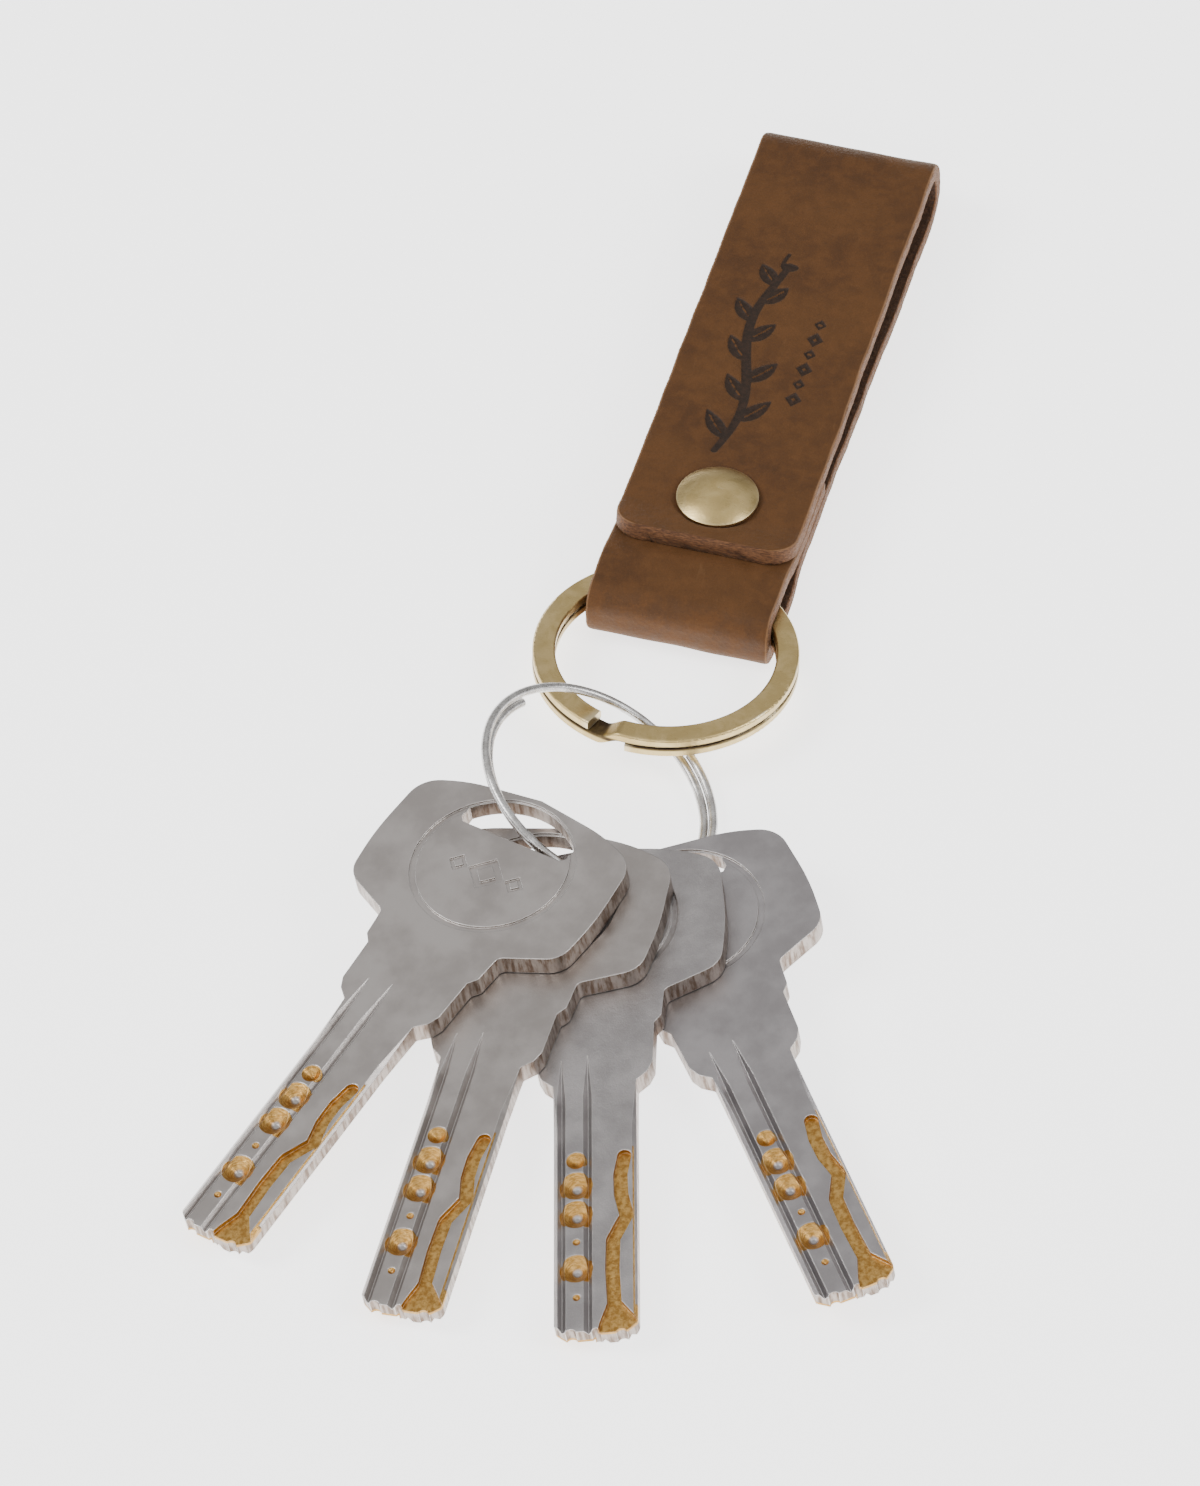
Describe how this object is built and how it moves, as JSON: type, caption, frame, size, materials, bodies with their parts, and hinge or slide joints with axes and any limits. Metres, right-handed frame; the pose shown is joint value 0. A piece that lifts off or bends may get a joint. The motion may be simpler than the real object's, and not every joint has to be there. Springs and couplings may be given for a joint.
{
  "type": "leather key fob with keys",
  "caption": "Folded leather strap held by one domed rivet, with a flat split ring and a thin wire ring that carries a fan of dimple keys.",
  "frame": {"origin": "on the table under the centre of the split ring's hole", "axes": "+Y up the strap, from the keys to the leather loop; +Z away from the table"},
  "size_m": [0.0697, 0.1695, 0.013],
  "materials": {
    "leather": "matte",
    "antique_brass": "satin",
    "steel_wire": "satin",
    "nickel": "satin"
  },
  "bodies": {
    "strap": {"leather_strap": "leather", "rivet_cap": "antique_brass", "rivet_back": "antique_brass"},
    "split_ring": {"split_ring": "antique_brass"},
    "wire_ring": {"wire_ring": "steel_wire"},
    "key_1": {"key_1": "nickel"},
    "key_2": {"key_2": "nickel"},
    "key_3": {"key_3": "nickel"},
    "key_4": {"key_4": "nickel"}
  },
  "joints": [
    {"name": "ring_turn", "type": "hinge", "parent": "strap", "child": "split_ring", "pos_m": [0, 0, 0.00405], "axis": [0, 0.0611, 0.9981], "continuous": true},
    {"name": "wire_swing", "type": "hinge", "parent": "strap", "child": "wire_ring", "pos_m": [-0.0017, -0.01206, 0.00479], "axis": [-0.9903, 0.1389, -0.0085], "range_deg": [-5, 75]},
    {"name": "key_1_fan", "type": "hinge", "parent": "wire_ring", "child": "key_1", "pos_m": [-0.00409, -0.0339, 0.0092], "axis": [-0.1274, -0.0865, 0.9881], "range_deg": [-12, 10]},
    {"name": "key_2_fan", "type": "hinge", "parent": "wire_ring", "child": "key_2", "pos_m": [0.00001, -0.0345, 0.00725], "axis": [-0.1274, -0.0865, 0.9881], "range_deg": [-12, 16]},
    {"name": "key_3_fan", "type": "hinge", "parent": "wire_ring", "child": "key_3", "pos_m": [0.0037, -0.03355, 0.0053], "axis": [-0.1274, -0.0865, 0.9881], "range_deg": [-24, 28]},
    {"name": "key_4_fan", "type": "hinge", "parent": "wire_ring", "child": "key_4", "pos_m": [0.00677, -0.0314, 0.00357], "axis": [-0.1274, -0.0865, 0.9881], "range_deg": [-24, 8]}
  ]
}
